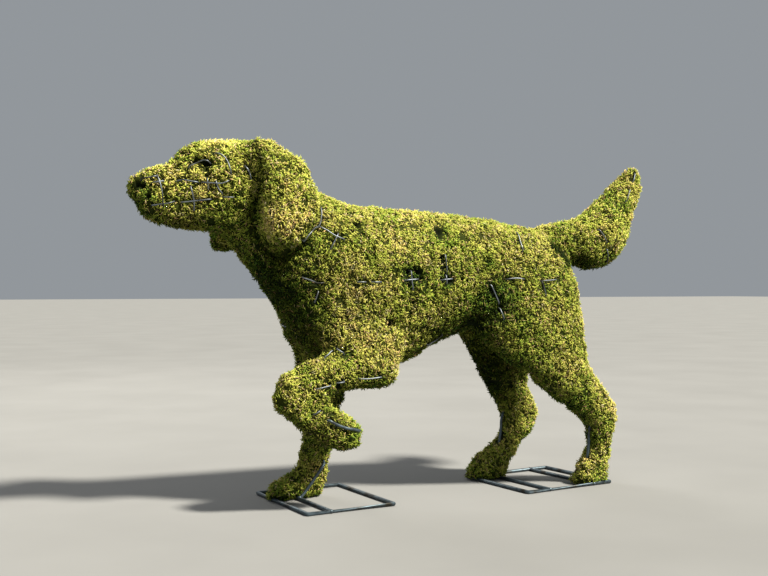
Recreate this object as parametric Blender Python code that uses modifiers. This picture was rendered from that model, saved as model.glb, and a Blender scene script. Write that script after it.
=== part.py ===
"""Moss dog topiary: a life-size pointing dog of packed moss in a cage of thin welded wire, standing
on two flat base frames of round steel rod with its left foreleg raised.

Metres, +Z up. The dog faces -X and its left side is -Y. The origin is on the ground under the middle
of the whole piece. Stations along the dog are given as a distance behind the nose tip and a height
above the ground.
"""

from math import copysign, cos, pi, radians, sin
from typing import NamedTuple

import bmesh
import bpy
import numpy as np
from mathutils import Matrix, Vector
from mathutils.bvhtree import BVHTree

# Whole piece
LENGTH = 1.220  # nose tip to tail tip

# Moss form
SIDES = 24  # round of a limb
SQUARENESS = 2.35  # of a limb's section, where 2 is an ellipse
RINGS_BETWEEN = 4  # rings worked out between two stations
DOME = 0.55  # height of a limb's domed end, over its half width
VOXEL = 0.0065  # grain of the fused form
FILLET_PASSES = 9  # smoothing that rounds the creases between limbs
LUMP_SPACING = 0.045  # tufts that show from a step away
LUMP_HEIGHT = 0.007
MOSS_TRIANGLES = 5200
SOLE_HEIGHT = 0.001  # the moss wraps down round the bars and ends just off the ground

# Steel
BAR_RADIUS = 0.004  # base frame rod
BAR_SIDES = 8
OUTER_BARS = 4
LEG_ROD_RADIUS = 0.003
WIRE_RADIUS = 0.002  # cage wire
AIR_GAP = 0.0003  # between separate solids
WIRE_GAP = 0.0008  # a bent wire lies a little off the moss facets
BODY_WIRE_STEP = 0.025  # spacing of the bends in a cage wire
HEAD_WIRE_STEP = 0.018
CLEARING_PASSES = 12  # rounds of moving a cage wire out of the moss


class Ring(NamedTuple):
    """One station of a limb: two opposite points of its outline as (back, up), its half width and
    how far its centre lies to the dog's left (negative) or right (positive)."""

    edge: tuple
    opposite: tuple
    half_width: float
    side: float = 0.0


# Muzzle, skull and the cheeks, from the nose tip back
HEAD = (
    Ring((0.010, 0.655), (0.016, 0.598), 0.026),
    Ring((0.026, 0.665), (0.030, 0.576), 0.034),
    Ring((0.056, 0.677), (0.056, 0.562), 0.040),
    Ring((0.086, 0.686), (0.092, 0.556), 0.044),  # muzzle's root
    Ring((0.104, 0.710), (0.118, 0.552), 0.052),  # stop
    Ring((0.144, 0.728), (0.150, 0.549), 0.062),
    Ring((0.200, 0.732), (0.190, 0.545), 0.067),  # cheeks
    Ring((0.250, 0.732), (0.225, 0.540), 0.066),
    Ring((0.292, 0.712), (0.270, 0.560), 0.058),  # back of the skull
)

# Neck, chest, barrel and rump, along the topline and the throat, brisket and belly
TRUNK = (
    Ring((0.262, 0.725), (0.160, 0.575), 0.055),
    Ring((0.325, 0.692), (0.210, 0.515), 0.064),  # top of the neck
    Ring((0.393, 0.643), (0.250, 0.462), 0.080),
    Ring((0.449, 0.614), (0.298, 0.400), 0.098),  # base of the neck
    Ring((0.508, 0.609), (0.342, 0.330), 0.107),  # point of the shoulder
    Ring((0.567, 0.607), (0.425, 0.274), 0.109),  # withers to brisket
    Ring((0.628, 0.604), (0.550, 0.272), 0.109),
    Ring((0.692, 0.601), (0.645, 0.318), 0.104),  # last ribs
    Ring((0.753, 0.596), (0.728, 0.345), 0.099),  # loin
    Ring((0.815, 0.588), (0.812, 0.352), 0.099),
    Ring((0.880, 0.577), (0.885, 0.365), 0.097),  # croup
    Ring((0.925, 0.566), (0.945, 0.390), 0.088),
    Ring((0.954, 0.546), (0.984, 0.430), 0.066),  # buttocks
)

TAIL = (
    Ring((0.890, 0.570), (0.915, 0.490), 0.040),
    Ring((0.960, 0.588), (0.972, 0.512), 0.038),  # root
    Ring((1.014, 0.597), (1.016, 0.496), 0.041),
    Ring((1.052, 0.609), (1.082, 0.483), 0.046),
    Ring((1.089, 0.635), (1.138, 0.505), 0.048),  # its fullest
    Ring((1.117, 0.660), (1.174, 0.549), 0.044),
    Ring((1.146, 0.690), (1.196, 0.605), 0.036),
    Ring((1.176, 0.716), (1.211, 0.648), 0.027),
    Ring((1.200, 0.727), (1.219, 0.690), 0.018),  # tip
)

# The ears hang from the crown; the left one lies back along the neck, the right one forward
LEFT_EAR = (
    Ring((0.216, 0.722), (0.275, 0.727), 0.022, -0.048),
    Ring((0.218, 0.703), (0.312, 0.694), 0.028, -0.062),
    Ring((0.228, 0.668), (0.338, 0.663), 0.032, -0.074),
    Ring((0.234, 0.620), (0.356, 0.616), 0.034, -0.082),
    Ring((0.238, 0.575), (0.352, 0.572), 0.032, -0.087),
    Ring((0.248, 0.538), (0.330, 0.536), 0.026, -0.089),
)
RIGHT_EAR = (
    Ring((0.212, 0.722), (0.270, 0.727), 0.022, 0.048),
    Ring((0.204, 0.692), (0.298, 0.687), 0.028, 0.063),
    Ring((0.196, 0.646), (0.306, 0.642), 0.032, 0.075),
    Ring((0.189, 0.598), (0.300, 0.595), 0.033, 0.083),
    Ring((0.184, 0.556), (0.280, 0.554), 0.030, 0.088),
    Ring((0.186, 0.526), (0.244, 0.524), 0.024, 0.090),
)

# Standing right foreleg, from the shoulder down, front edge then rear edge
RIGHT_FORELEG = (
    Ring((0.312, 0.480), (0.520, 0.480), 0.040, 0.050),  # shoulder
    Ring((0.322, 0.400), (0.525, 0.395), 0.046, 0.057),
    Ring((0.345, 0.330), (0.510, 0.330), 0.043, 0.059),
    Ring((0.361, 0.270), (0.488, 0.275), 0.038, 0.058),  # elbow
    Ring((0.372, 0.215), (0.470, 0.222), 0.034, 0.056),
    Ring((0.378, 0.160), (0.456, 0.168), 0.030, 0.057),  # knee
    Ring((0.376, 0.112), (0.444, 0.110), 0.028, 0.060),
    Ring((0.369, 0.084), (0.440, 0.076), 0.027, 0.061),  # pastern
    Ring((0.355, 0.055), (0.434, 0.046), 0.027, 0.061),
    Ring((0.350, 0.016), (0.428, 0.014), 0.026, 0.061),
)
# Its paw, from the heel to the toes, top then sole
RIGHT_FOREPAW = (
    Ring((0.420, 0.050), (0.414, -0.006), 0.023, 0.062),
    Ring((0.385, 0.064), (0.385, -0.006), 0.026, 0.060),
    Ring((0.352, 0.055), (0.350, -0.006), 0.030, 0.056),
    Ring((0.326, 0.043), (0.324, -0.006), 0.035, 0.052),
    Ring((0.308, 0.030), (0.306, -0.006), 0.033, 0.050),
)

# Raised left foreleg: upper arm down to the elbow, forearm forward to the knee, pastern folded back
LEFT_UPPER_ARM = (
    Ring((0.312, 0.480), (0.520, 0.480), 0.040, -0.050),
    Ring((0.322, 0.400), (0.545, 0.392), 0.046, -0.062),
    Ring((0.360, 0.332), (0.548, 0.318), 0.044, -0.076),
    Ring((0.400, 0.275), (0.514, 0.258), 0.036, -0.087),
)
LEFT_FOREARM = (
    Ring((0.505, 0.318), (0.508, 0.240), 0.034, -0.090),
    Ring((0.455, 0.322), (0.460, 0.236), 0.037, -0.092),
    Ring((0.402, 0.318), (0.414, 0.236), 0.036, -0.095),
    Ring((0.350, 0.306), (0.368, 0.220), 0.035, -0.097),
    Ring((0.306, 0.293), (0.332, 0.194), 0.034, -0.099),
    Ring((0.270, 0.278), (0.300, 0.182), 0.032, -0.100),  # knee
)
LEFT_PASTERN = (
    Ring((0.312, 0.272), (0.258, 0.218), 0.028, -0.100),
    Ring((0.350, 0.228), (0.304, 0.166), 0.030, -0.100),
    Ring((0.386, 0.204), (0.349, 0.134), 0.031, -0.100),
    Ring((0.414, 0.187), (0.389, 0.119), 0.032, -0.100),
    Ring((0.434, 0.166), (0.414, 0.119), 0.027, -0.100),  # paw
)

# Hind legs, from the hip down, front edge then rear edge
LEFT_HIND_LEG = (
    Ring((0.750, 0.520), (0.956, 0.520), 0.038, -0.050),  # hip
    Ring((0.724, 0.455), (0.986, 0.458), 0.044, -0.058),
    Ring((0.708, 0.392), (0.997, 0.390), 0.046, -0.064),  # thigh
    Ring((0.752, 0.320), (1.004, 0.325), 0.045, -0.070),
    Ring((0.832, 0.258), (1.012, 0.268), 0.041, -0.074),  # stifle
    Ring((0.902, 0.206), (1.042, 0.228), 0.035, -0.077),
    Ring((0.968, 0.163), (1.073, 0.193), 0.030, -0.078),
    Ring((1.004, 0.134), (1.087, 0.160), 0.027, -0.078),  # hock
    Ring((1.010, 0.102), (1.079, 0.112), 0.026, -0.077),
    Ring((1.002, 0.070), (1.070, 0.070), 0.026, -0.076),
    Ring((0.980, 0.040), (1.066, 0.036), 0.029, -0.075),
    Ring((0.970, 0.016), (1.062, 0.012), 0.031, -0.075),
    Ring((0.970, -0.004), (1.060, -0.006), 0.031, -0.075),  # sole
)
RIGHT_HIND_LEG = (
    Ring((0.748, 0.500), (0.930, 0.500), 0.038, 0.050),  # hip
    Ring((0.738, 0.430), (0.962, 0.430), 0.045, 0.058),
    Ring((0.752, 0.365), (0.976, 0.370), 0.046, 0.064),  # thigh
    Ring((0.780, 0.315), (0.974, 0.315), 0.044, 0.069),
    Ring((0.812, 0.258), (0.960, 0.262), 0.040, 0.072),  # stifle
    Ring((0.842, 0.206), (0.947, 0.222), 0.034, 0.073),
    Ring((0.868, 0.168), (0.962, 0.188), 0.030, 0.073),
    Ring((0.882, 0.134), (0.978, 0.154), 0.027, 0.074),  # hock
    Ring((0.874, 0.106), (0.970, 0.118), 0.026, 0.075),
    Ring((0.842, 0.078), (0.942, 0.082), 0.026, 0.076),
    Ring((0.806, 0.052), (0.914, 0.046), 0.029, 0.076),
    Ring((0.788, 0.026), (0.890, 0.018), 0.031, 0.075),
    Ring((0.786, 0.000), (0.882, -0.004), 0.031, 0.074),  # sole
)

LIMBS = (
    HEAD,
    TRUNK,
    TAIL,
    LEFT_EAR,
    RIGHT_EAR,
    RIGHT_FORELEG,
    RIGHT_FOREPAW,
    LEFT_UPPER_ARM,
    LEFT_FOREARM,
    LEFT_PASTERN,
    LEFT_HIND_LEG,
    RIGHT_HIND_LEG,
)

# Eye sockets: a shallow hollow on each side under the brow
EYE_BACK, EYE_UP, EYE_SIDE = 0.124, 0.682, 0.048
EYE_RADIUS, EYE_DEPTH = 0.021, 0.008


class Frame(NamedTuple):
    """A welded rectangle of rod lying on the ground, measured between the rods' middles."""

    name: str
    middle: tuple  # back and side
    length: float  # along the dog
    width: float  # across it
    twist: float  # turned from the dog's own direction, in degrees
    inner_bars: tuple  # how far each lies behind the front bar
    leg_rods: tuple  # routes of (back, up, side), each starting on a bar


FRONT_FRAME = Frame(
    name="front_base_frame",
    middle=(0.4065, 0.010),
    length=0.194,
    width=0.243,
    twist=4.0,
    inner_bars=(0.051,),
    leg_rods=(
        (
            (0.359, 0.004, 0.028),
            (0.375, 0.020, 0.030),
            (0.396, 0.045, 0.032),
            (0.415, 0.069, 0.034),
            (0.420, 0.090, 0.037),
            (0.424, 0.120, 0.050),
        ),
    ),
)
REAR_FRAME = Frame(
    name="rear_base_frame",
    middle=(0.930, 0.000),
    length=0.237,
    width=0.220,
    twist=6.0,
    inner_bars=(0.060, 0.187),
    leg_rods=(
        (
            (1.005, 0.004, -0.076),
            (1.006, 0.040, -0.076),
            (1.007, 0.080, -0.076),
            (1.009, 0.125, -0.077),
            (1.024, 0.155, -0.078),
        ),
        (
            (0.8645, 0.004, 0.068),
            (0.868, 0.060, 0.070),
            (0.876, 0.108, 0.072),
            (0.879, 0.140, 0.072),
            (0.896, 0.175, 0.072),
        ),
    ),
)

# Wire hoops, each in the plane through two opposite points of the outline as (back, up), and the
# share of the way round that it goes, over the top
BODY_HOOPS = (
    ((0.385, 0.650), (0.270, 0.450), 1.0),  # neck
    ((0.432, 0.635), (0.300, 0.310), 1.0),  # shoulder
    ((0.549, 0.610), (0.549, 0.275), 1.0),  # ribs
    ((0.631, 0.610), (0.631, 0.315), 1.0),  # last ribs
    ((0.800, 0.600), (0.905, 0.385), 0.7),  # loin
)
MUZZLE_HOOPS = (
    ((0.053, 0.680), (0.057, 0.560), 1.0),
    ((0.111, 0.712), (0.118, 0.552), 1.0),
    ((0.150, 0.728), (0.152, 0.549), 1.0),
)

# Long wires that run along both sides, as (back, up)
FLANK_WIRE = ((0.268, 0.474), (0.362, 0.456), (0.480, 0.456), (0.700, 0.458), (0.925, 0.455))
MUZZLE_WIRES = (
    ((0.036, 0.645), (0.080, 0.642), (0.184, 0.645)),
    ((0.032, 0.600), (0.090, 0.604), (0.184, 0.615)),
)


def place(back, up, side=0.0):
    """The point that lies so far behind the nose tip, above the ground and to the dog's right."""
    return Vector((back - LENGTH / 2, side, up))


def clear_scene():
    for old in list(bpy.data.objects):
        bpy.data.objects.remove(old, do_unlink=True)


def new_collection(name):
    made = bpy.data.collections.new(name)
    bpy.context.scene.collection.children.link(made)
    return made


def principled(name, colour, roughness, metallic=0.0):
    material = bpy.data.materials.new(name)
    material.use_nodes = True
    shader = material.node_tree.nodes["Principled BSDF"]
    shader.inputs["Base Color"].default_value = (*colour, 1.0)
    shader.inputs["Roughness"].default_value = roughness
    shader.inputs["Metallic"].default_value = metallic
    return material


def add_object(name, mesh, collection, material=None):
    made = bpy.data.objects.new(name, mesh)
    collection.objects.link(made)
    if material:
        mesh.materials.clear()
        mesh.materials.append(material)
    return made


def add_cutter(name, mesh, collection):
    made = add_object(name, mesh, collection)
    made.hide_render = True
    made.display_type = "WIRE"
    return made


def mesh_from(bm, name):
    mesh = bpy.data.meshes.new(name)
    bmesh.ops.recalc_face_normals(bm, faces=bm.faces)
    bm.to_mesh(mesh)
    bm.free()
    return mesh


def evaluated_mesh(source):
    """A copy of the object's mesh with its modifiers applied."""
    bpy.context.view_layer.update()
    graph = bpy.context.evaluated_depsgraph_get()
    return bpy.data.meshes.new_from_object(source.evaluated_get(graph))


def join_with(base, others, operation):
    """Add one exact Boolean modifier to base for each of the others."""
    for other in others:
        step = base.modifiers.new(f"{operation.title()} {other.name}", "BOOLEAN")
        step.operation = operation
        step.solver = "EXACT"
        step.object = other


def curve_through(rows, steps):
    """Rows of numbers on a smooth curve that passes through the given rows."""
    rows = np.asarray(rows, float)
    padded = np.vstack([2 * rows[0] - rows[1], rows, 2 * rows[-1] - rows[-2]])
    result = []
    for a, b, c, d in zip(padded, padded[1:], padded[2:], padded[3:]):
        for t in np.arange(steps) / steps:
            slope = (c - a) * t + (2 * a - 5 * b + 4 * c - d) * t**2
            result.append(b + 0.5 * (slope + (3 * b - a - 3 * c + d) * t**3))
    result.append(rows[-1])
    return result


def ring_points(centre, half_depth, half_width, scale=1.0):
    """Points round a section that is a little squarer than an ellipse."""
    for k in range(SIDES):
        along, across = cos(2 * pi * k / SIDES), sin(2 * pi * k / SIDES)
        along, across = (copysign(abs(v) ** (2 / SQUARENESS), v) for v in (along, across))
        yield centre + scale * (half_depth * along + Vector((0, half_width * across, 0)))


def add_limb(bm, rings):
    """A closed limb lofted through its rings, with a domed end at each end."""
    rows = [(*r.edge, *r.opposite, r.half_width, r.side) for r in rings]
    centres, depths, widths = [], [], []
    for back_a, up_a, back_b, up_b, width, side in curve_through(rows, RINGS_BETWEEN):
        edge, opposite = place(back_a, up_a, side), place(back_b, up_b, side)
        centres.append((edge + opposite) / 2)
        depths.append((edge - opposite) / 2)
        widths.append(width)
    loops = [list(ring_points(*ring)) for ring in zip(centres, depths, widths)]
    for end, inner in ((0, 1), (-1, -2)):
        outward = depths[end].cross(Vector((0, 1, 0))).normalized()
        if outward.dot(centres[end] - centres[inner]) < 0:
            outward.negate()
        bulge = DOME * min(widths[end], depths[end].length)
        dome = []
        for tilt in (radians(35), radians(65)):
            middle = centres[end] + outward * bulge * sin(tilt)
            dome.append(list(ring_points(middle, depths[end], widths[end], cos(tilt))))
        pole = [centres[end] + outward * bulge]
        loops = [pole, *reversed(dome), *loops] if end == 0 else [*loops, *dome, pole]
    made = [[bm.verts.new(point) for point in loop] for loop in loops]
    for one, two in zip(made, made[1:]):
        for k in range(SIDES):
            corners = [one[k % len(one)], one[(k + 1) % len(one)]]
            corners += [two[(k + 1) % len(two)], two[k % len(two)]]
            bm.faces.new(list(dict.fromkeys(corners)))


def hollow_eyes(mesh):
    """Press the two eye sockets in, deepest at their middle."""
    for side in (-EYE_SIDE, EYE_SIDE):
        middle = place(EYE_BACK, EYE_UP, side)
        for vertex in mesh.vertices:
            away = (vertex.co - middle).length / EYE_RADIUS
            if away < 1:
                inward = Vector((0, -copysign(1, side), 0))
                vertex.co += inward * EYE_DEPTH * (1 - away**2) ** 2


def moss_dog(collection, cutters, material):
    """All limbs fused into one solid, with lumps of moss."""
    bm = bmesh.new()
    for limb in LIMBS:
        add_limb(bm, limb)
    rough = add_object("rough_form", mesh_from(bm, "rough_form"), cutters)
    fuse = rough.modifiers.new("Fuse", "REMESH")
    fuse.mode = "VOXEL"
    fuse.voxel_size = VOXEL
    soften = rough.modifiers.new("Soften", "SMOOTH")
    soften.factor = 0.5
    soften.iterations = FILLET_PASSES
    form = evaluated_mesh(rough)
    bpy.data.objects.remove(rough, do_unlink=True)
    hollow_eyes(form)

    dog = add_object("moss_dog", form, collection, material)
    clouds = bpy.data.textures.new("moss_lumps", "CLOUDS")
    clouds.noise_scale = LUMP_SPACING
    lumps = dog.modifiers.new("Lumps", "DISPLACE")
    lumps.texture = clouds
    lumps.texture_coords = "LOCAL"
    lumps.mid_level = 0.5
    lumps.strength = LUMP_HEIGHT
    facets = dog.modifiers.new("Facets", "DECIMATE")
    facets.ratio = MOSS_TRIANGLES / (2 * len(form.polygons))
    facets.use_collapse_triangulate = True
    return dog


def box_between(name, start, end, half_width, low, high):
    """A box along the ground from start to end, between two heights."""
    bm = bmesh.new()
    along = (end - start).to_2d()
    middle = ((start + end) / 2).to_2d().to_3d() + Vector((0, 0, (low + high) / 2))
    turn = Matrix.Rotation(np.arctan2(along.y, along.x), 4, "Z")
    size = Matrix.Diagonal((along.length, 2 * half_width, high - low, 1))
    bmesh.ops.create_cube(bm, size=1.0, matrix=Matrix.Translation(middle) @ turn @ size)
    return mesh_from(bm, name)


def on_frame(frame, back, side):
    """The point of the frame's own plane at that place behind and to the right of its middle."""
    turn = Matrix.Rotation(radians(frame.twist), 3, "Z")
    return place(frame.middle[0], BAR_RADIUS, frame.middle[1]) + turn @ Vector((back, side, 0))


def frame_bars(frame):
    """The middles of the two ends of each bar: the outer four, then the inner ones."""
    front, rear, wide = -frame.length / 2, frame.length / 2, frame.width / 2
    bars = [(on_frame(frame, back, -wide), on_frame(frame, back, wide)) for back in (front, rear)]
    bars += [(on_frame(frame, front, side), on_frame(frame, rear, side)) for side in (-wide, wide)]
    for behind in frame.inner_bars:
        back = front + behind
        bars.append((on_frame(frame, back, -wide), on_frame(frame, back, wide)))
    return bars


def bar_profile(radius):
    """Corners of a rod's section that has flat facets below and above, so that it lies flat."""
    corner_radius = radius / cos(pi / BAR_SIDES)
    angles = [2 * pi * (k + 0.5) / BAR_SIDES for k in range(BAR_SIDES)]
    return [(corner_radius * cos(angle), corner_radius * sin(angle)) for angle in angles]


def outer_bars_mesh(frame):
    """The four outer bars, mitred and welded at the corners."""
    bm = bmesh.new()
    loops = []
    for back, side in ((-1, -1), (-1, 1), (1, 1), (1, -1)):
        loop = []
        for outward, up in bar_profile(BAR_RADIUS):
            corner = (back * (frame.length / 2 + outward), side * (frame.width / 2 + outward))
            loop.append(bm.verts.new(on_frame(frame, *corner) + Vector((0, 0, up))))
        loops.append(loop)
    for one, two in zip(loops, loops[1:] + loops[:1]):
        for k in range(BAR_SIDES):
            after = (k + 1) % BAR_SIDES
            bm.faces.new((one[k], one[after], two[after], two[k]))
    return mesh_from(bm, frame.name)


def inner_bar_mesh(name, start, end):
    """A bar a hair thinner than the outer ones that it is welded between."""
    bm = bmesh.new()
    across = (end - start).normalized().cross(Vector((0, 0, 1)))
    profile = bar_profile(BAR_RADIUS - AIR_GAP)
    loops = [
        [bm.verts.new(middle + across * aside + Vector((0, 0, up))) for aside, up in profile]
        for middle in (start, end)
    ]
    for k in range(BAR_SIDES):
        after = (k + 1) % BAR_SIDES
        bm.faces.new((loops[0][k], loops[0][after], loops[1][after], loops[1][k]))
    for loop in loops:
        bm.faces.new(loop)
    return mesh_from(bm, name)


def wire_mesh(name, points, radius, closed=False, resolution=0):
    """A round wire bent through the points, as a closed mesh."""
    data = bpy.data.curves.new(name, "CURVE")
    data.dimensions = "3D"
    data.bevel_depth = radius
    data.bevel_resolution = resolution
    data.use_fill_caps = True
    spline = data.splines.new("POLY")
    spline.points.add(len(points) - 1)
    for at, point in zip(spline.points, points):
        at.co = (*point, 1)
    spline.use_cyclic_u = closed
    curve = bpy.data.objects.new(name, data)
    bpy.context.scene.collection.objects.link(curve)
    bm = bmesh.new()
    bm.from_mesh(evaluated_mesh(curve))
    bpy.data.objects.remove(curve, do_unlink=True)
    bmesh.ops.remove_doubles(bm, verts=bm.verts, dist=radius / 100)
    return mesh_from(bm, name)


def rod_route(route):
    return [place(back, up, side) for back, up, side in route]


def base_frame(frame, collection, cutters, material):
    """The welded rectangle with its inner bars and the rods that rise along the legs."""
    made = add_object(frame.name, outer_bars_mesh(frame), collection, material)
    welded = [
        inner_bar_mesh(f"{frame.name}_bar_{k}", *ends)
        for k, ends in enumerate(frame_bars(frame)[OUTER_BARS:])
    ]
    welded += [
        wire_mesh(f"{frame.name}_rod_{k}", rod_route(route), LEG_ROD_RADIUS, resolution=2)
        for k, route in enumerate(frame.leg_rods)
    ]
    join_with(made, [add_cutter(mesh.name, mesh, cutters) for mesh in welded], "UNION")


def fit_paws(dog, frames, cutters):
    """Level the soles just off the ground and clear the moss round the bars and the leg rods."""
    deep = 0.1
    front, rear = place(0, 0), place(LENGTH, 0)
    cuts = [box_between("below_soles", front, rear, LENGTH, -deep, SOLE_HEIGHT)]
    for frame in frames:
        for k, (start, end) in enumerate(frame_bars(frame)):
            reach = (end - start).normalized() * BAR_RADIUS
            line = (start - reach, end + reach)
            room = BAR_RADIUS + AIR_GAP
            name = f"{frame.name}_channel_{k}"
            cuts.append(box_between(name, *line, room, -deep / 2, BAR_RADIUS + room))
        for k, route in enumerate(frame.leg_rods):
            points = rod_route(route)
            points.append(points[-1] + (points[-1] - points[-2]).normalized() * 2 * AIR_GAP)
            name = f"{frame.name}_hole_{k}"
            cuts.append(wire_mesh(name, points, LEG_ROD_RADIUS + 2 * AIR_GAP, resolution=2))
    join_with(dog, [add_cutter(mesh.name, mesh, cutters) for mesh in cuts], "DIFFERENCE")


def on_skin(skin, inside, direction, lift):
    """The point at that lift above the moss, in that direction from a point inside it."""
    found, normal, *_ = skin.ray_cast(inside, direction.normalized())
    return found + normal * lift


def lifted_clear(points, skin, lift, closed):
    """The same points, moved out where a straight stretch between two would be in the moss."""
    points = [point.copy() for point in points]
    pairs = list(zip(range(len(points)), range(1, len(points))))
    if closed:
        pairs.append((len(points) - 1, 0))
    for _ in range(CLEARING_PASSES):
        for one, two in pairs:
            for share in (0.0, 0.25, 0.5, 0.75, 1.0):
                at = points[one].lerp(points[two], share)
                near, normal, _, away = skin.find_nearest(at)
                height = away if (at - near).dot(normal) > 0 else -away
                if height < lift:
                    points[one] += normal * (lift - height) * (1 - share / 2)
                    points[two] += normal * (lift - height) * (0.5 + share / 2)
    return points


def hoop(skin, edge, opposite, share, lift, step):
    """Bends of a hoop on the moss, and whether it closes."""
    top, bottom = place(*edge), place(*opposite)
    middle, up = (top + bottom) / 2, (top - bottom).normalized()
    spans = round(pi * (top - bottom).length * share / step)
    closed = share == 1.0
    points = []
    for k in range(spans if closed else spans + 1):
        angle = 2 * pi * share * (k / spans - 0.5)
        direction = up * cos(angle) + Vector((0, sin(angle), 0))
        points.append(on_skin(skin, middle, direction, lift))
    return lifted_clear(points, skin, lift, closed), closed


def long_wire(skin, route, side, lift, step):
    """Bends of a wire that runs along one side of the moss and stays open."""
    reach = (place(*route[-1]) - place(*route[0])).length
    steps = max(1, round(reach / (len(route) - 1) / step))
    points = []
    for back, up in curve_through(route, steps):
        points.append(on_skin(skin, place(back, up), Vector((0, side, 0)), lift))
    return lifted_clear(points, skin, lift, closed=False), False


def wire_cage(name, skin, hoops, long_wires, step, collection, cutters, material):
    """Hoops and long wires welded where they cross, lying on the moss."""
    lift = WIRE_RADIUS + WIRE_GAP
    wires = [hoop(skin, *shape, lift, step) for shape in hoops]
    wires += [long_wire(skin, route, side, lift, step) for route in long_wires for side in (-1, 1)]
    meshes = [
        wire_mesh(f"{name}_wire_{k}", points, WIRE_RADIUS, closed)
        for k, (points, closed) in enumerate(wires)
    ]
    made = add_object(name, meshes[0], collection, material)
    join_with(made, [add_cutter(mesh.name, mesh, cutters) for mesh in meshes[1:]], "UNION")


def main():
    clear_scene()
    parts = new_collection("moss_dog_topiary")
    cutters = new_collection("cutters")
    moss = principled("moss", (0.22, 0.24, 0.035), 0.95)
    steel = principled("weathered_steel", (0.07, 0.085, 0.095), 0.5, metallic=0.8)
    frames = (FRONT_FRAME, REAR_FRAME)
    dog = moss_dog(parts, cutters, moss)
    fit_paws(dog, frames, cutters)
    for frame in frames:
        base_frame(frame, parts, cutters, steel)
    bpy.context.view_layer.update()
    skin = BVHTree.FromObject(dog, bpy.context.evaluated_depsgraph_get())
    wire_cage("body_cage", skin, BODY_HOOPS, (FLANK_WIRE,), BODY_WIRE_STEP, parts, cutters, steel)
    wire_cage("head_cage", skin, MUZZLE_HOOPS, MUZZLE_WIRES, HEAD_WIRE_STEP, parts, cutters, steel)


main()
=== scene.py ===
"""Looks of the moss dog topiary: a mat of moss strands over the whole dog, the cage wires that
come up through it here and there, and the two base frames of weathered rod.

Metres, +Z up. The dog faces -X and its left side is -Y, the side that the camera sees. Places on
the dog are given as (back, up, side): behind the nose tip, above the ground and to the dog's right.
A place given as (back, up) alone is the one on the moss that is seen there from the dog's left.
"""

from math import cos, pi, radians, sin
from typing import NamedTuple

import bpy
import numpy as np
from mathutils import Matrix, Vector, noise
from mathutils.bvhtree import BVHTree
from mathutils.kdtree import KDTree

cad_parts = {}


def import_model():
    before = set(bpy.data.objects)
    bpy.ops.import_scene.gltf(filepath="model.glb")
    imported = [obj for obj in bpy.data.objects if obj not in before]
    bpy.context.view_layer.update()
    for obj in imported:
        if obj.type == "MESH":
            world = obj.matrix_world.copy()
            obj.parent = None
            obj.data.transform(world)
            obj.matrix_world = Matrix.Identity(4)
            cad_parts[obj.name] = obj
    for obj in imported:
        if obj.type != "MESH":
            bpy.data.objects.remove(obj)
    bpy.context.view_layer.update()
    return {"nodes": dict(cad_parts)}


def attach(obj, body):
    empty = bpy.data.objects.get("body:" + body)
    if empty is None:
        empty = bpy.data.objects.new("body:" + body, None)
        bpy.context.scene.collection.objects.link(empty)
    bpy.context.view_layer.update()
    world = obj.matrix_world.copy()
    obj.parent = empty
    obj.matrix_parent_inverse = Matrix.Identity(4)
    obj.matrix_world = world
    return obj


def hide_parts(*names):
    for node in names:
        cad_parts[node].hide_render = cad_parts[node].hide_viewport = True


LENGTH = 1.220  # nose tip to tail tip
LEFT, RIGHT = -1, 1  # ways along Y to the dog's two sides
UP = Vector((0, 0, 1))
BODY = "root"
BAKE_MAP = "OFBake"
SEED = 7  # of the random draws
FLOOR_GAP = 0.0005  # the moss stays this far above the floor

# Layers of noise below are given as the size of their features, their strength and their offset

# The mat under the strands
BED_VOXEL = 0.0055
BED_SMOOTHING = 2
BED_DEPTH = 0.0042  # how far it lies inside the outline that the strands make up
BED_LUMPS = ((0.034, 0.0030, 0.0), (0.013, 0.0020, 0.0))
WIRE_GROOVE = (0.0060, 0.0035)  # how wide and deep the wires press into it
BED_TINTS = (0.03, 0.97)
BED_SHADE = 0.12  # its brightness as a share of the strands' own
BED_LUMP_PAINTED_SHADE = 15.0  # and how much more of it for each metre that a lump stands up, painted light on the lumps' tops and painted shade between them
BED_SHADES = (0.02, 0.15)
BED_HOLE_PAINTED_SHADE = 0.8  # painted shade: how much darker it is in gaps, and the wires' painted shadow beside them
BED_DARKEST = 0.01

# Gaps and creases
GAP_DEPTH = 0.011
# painted shade: how much darker the moss is in a gap
GAP_PAINTED_SHADE = 0.5
GAP_PEAK, GAP_FALL = 1.6, 1.2  # a gap is whole to half its width and gone a third beyond it
CREASE_FALL = 2.0
CREASE_STEPS = 3  # spots along a crease for each width of it
HOLE_REACH = 0.02  # how deep into the moss a gap or crease still counts

# Colour of the moss: place along the palette and brightness
TINT = 0.48
TINT_NOISE = ((0.060, 0.19, 0.0), (0.018, 0.14, 5.0))
BRIGHTNESS = 0.70
BRIGHTNESS_NOISE = ((0.016, 0.13, 9.0), (0.006, 0.09, 3.0))
# Sides painted darker and greener as painted shade: the way that they face, how much darker and how
# much greener
PAINTED_SHADE_SIDES = (((-1.0, 0.0, 0.0), 0.10, 0.06), ((0.0, 0.0, -1.0), 0.40, 0.14))
MOSS_ROUGHNESS, MOSS_SPECULAR = 0.85, 0.10

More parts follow.
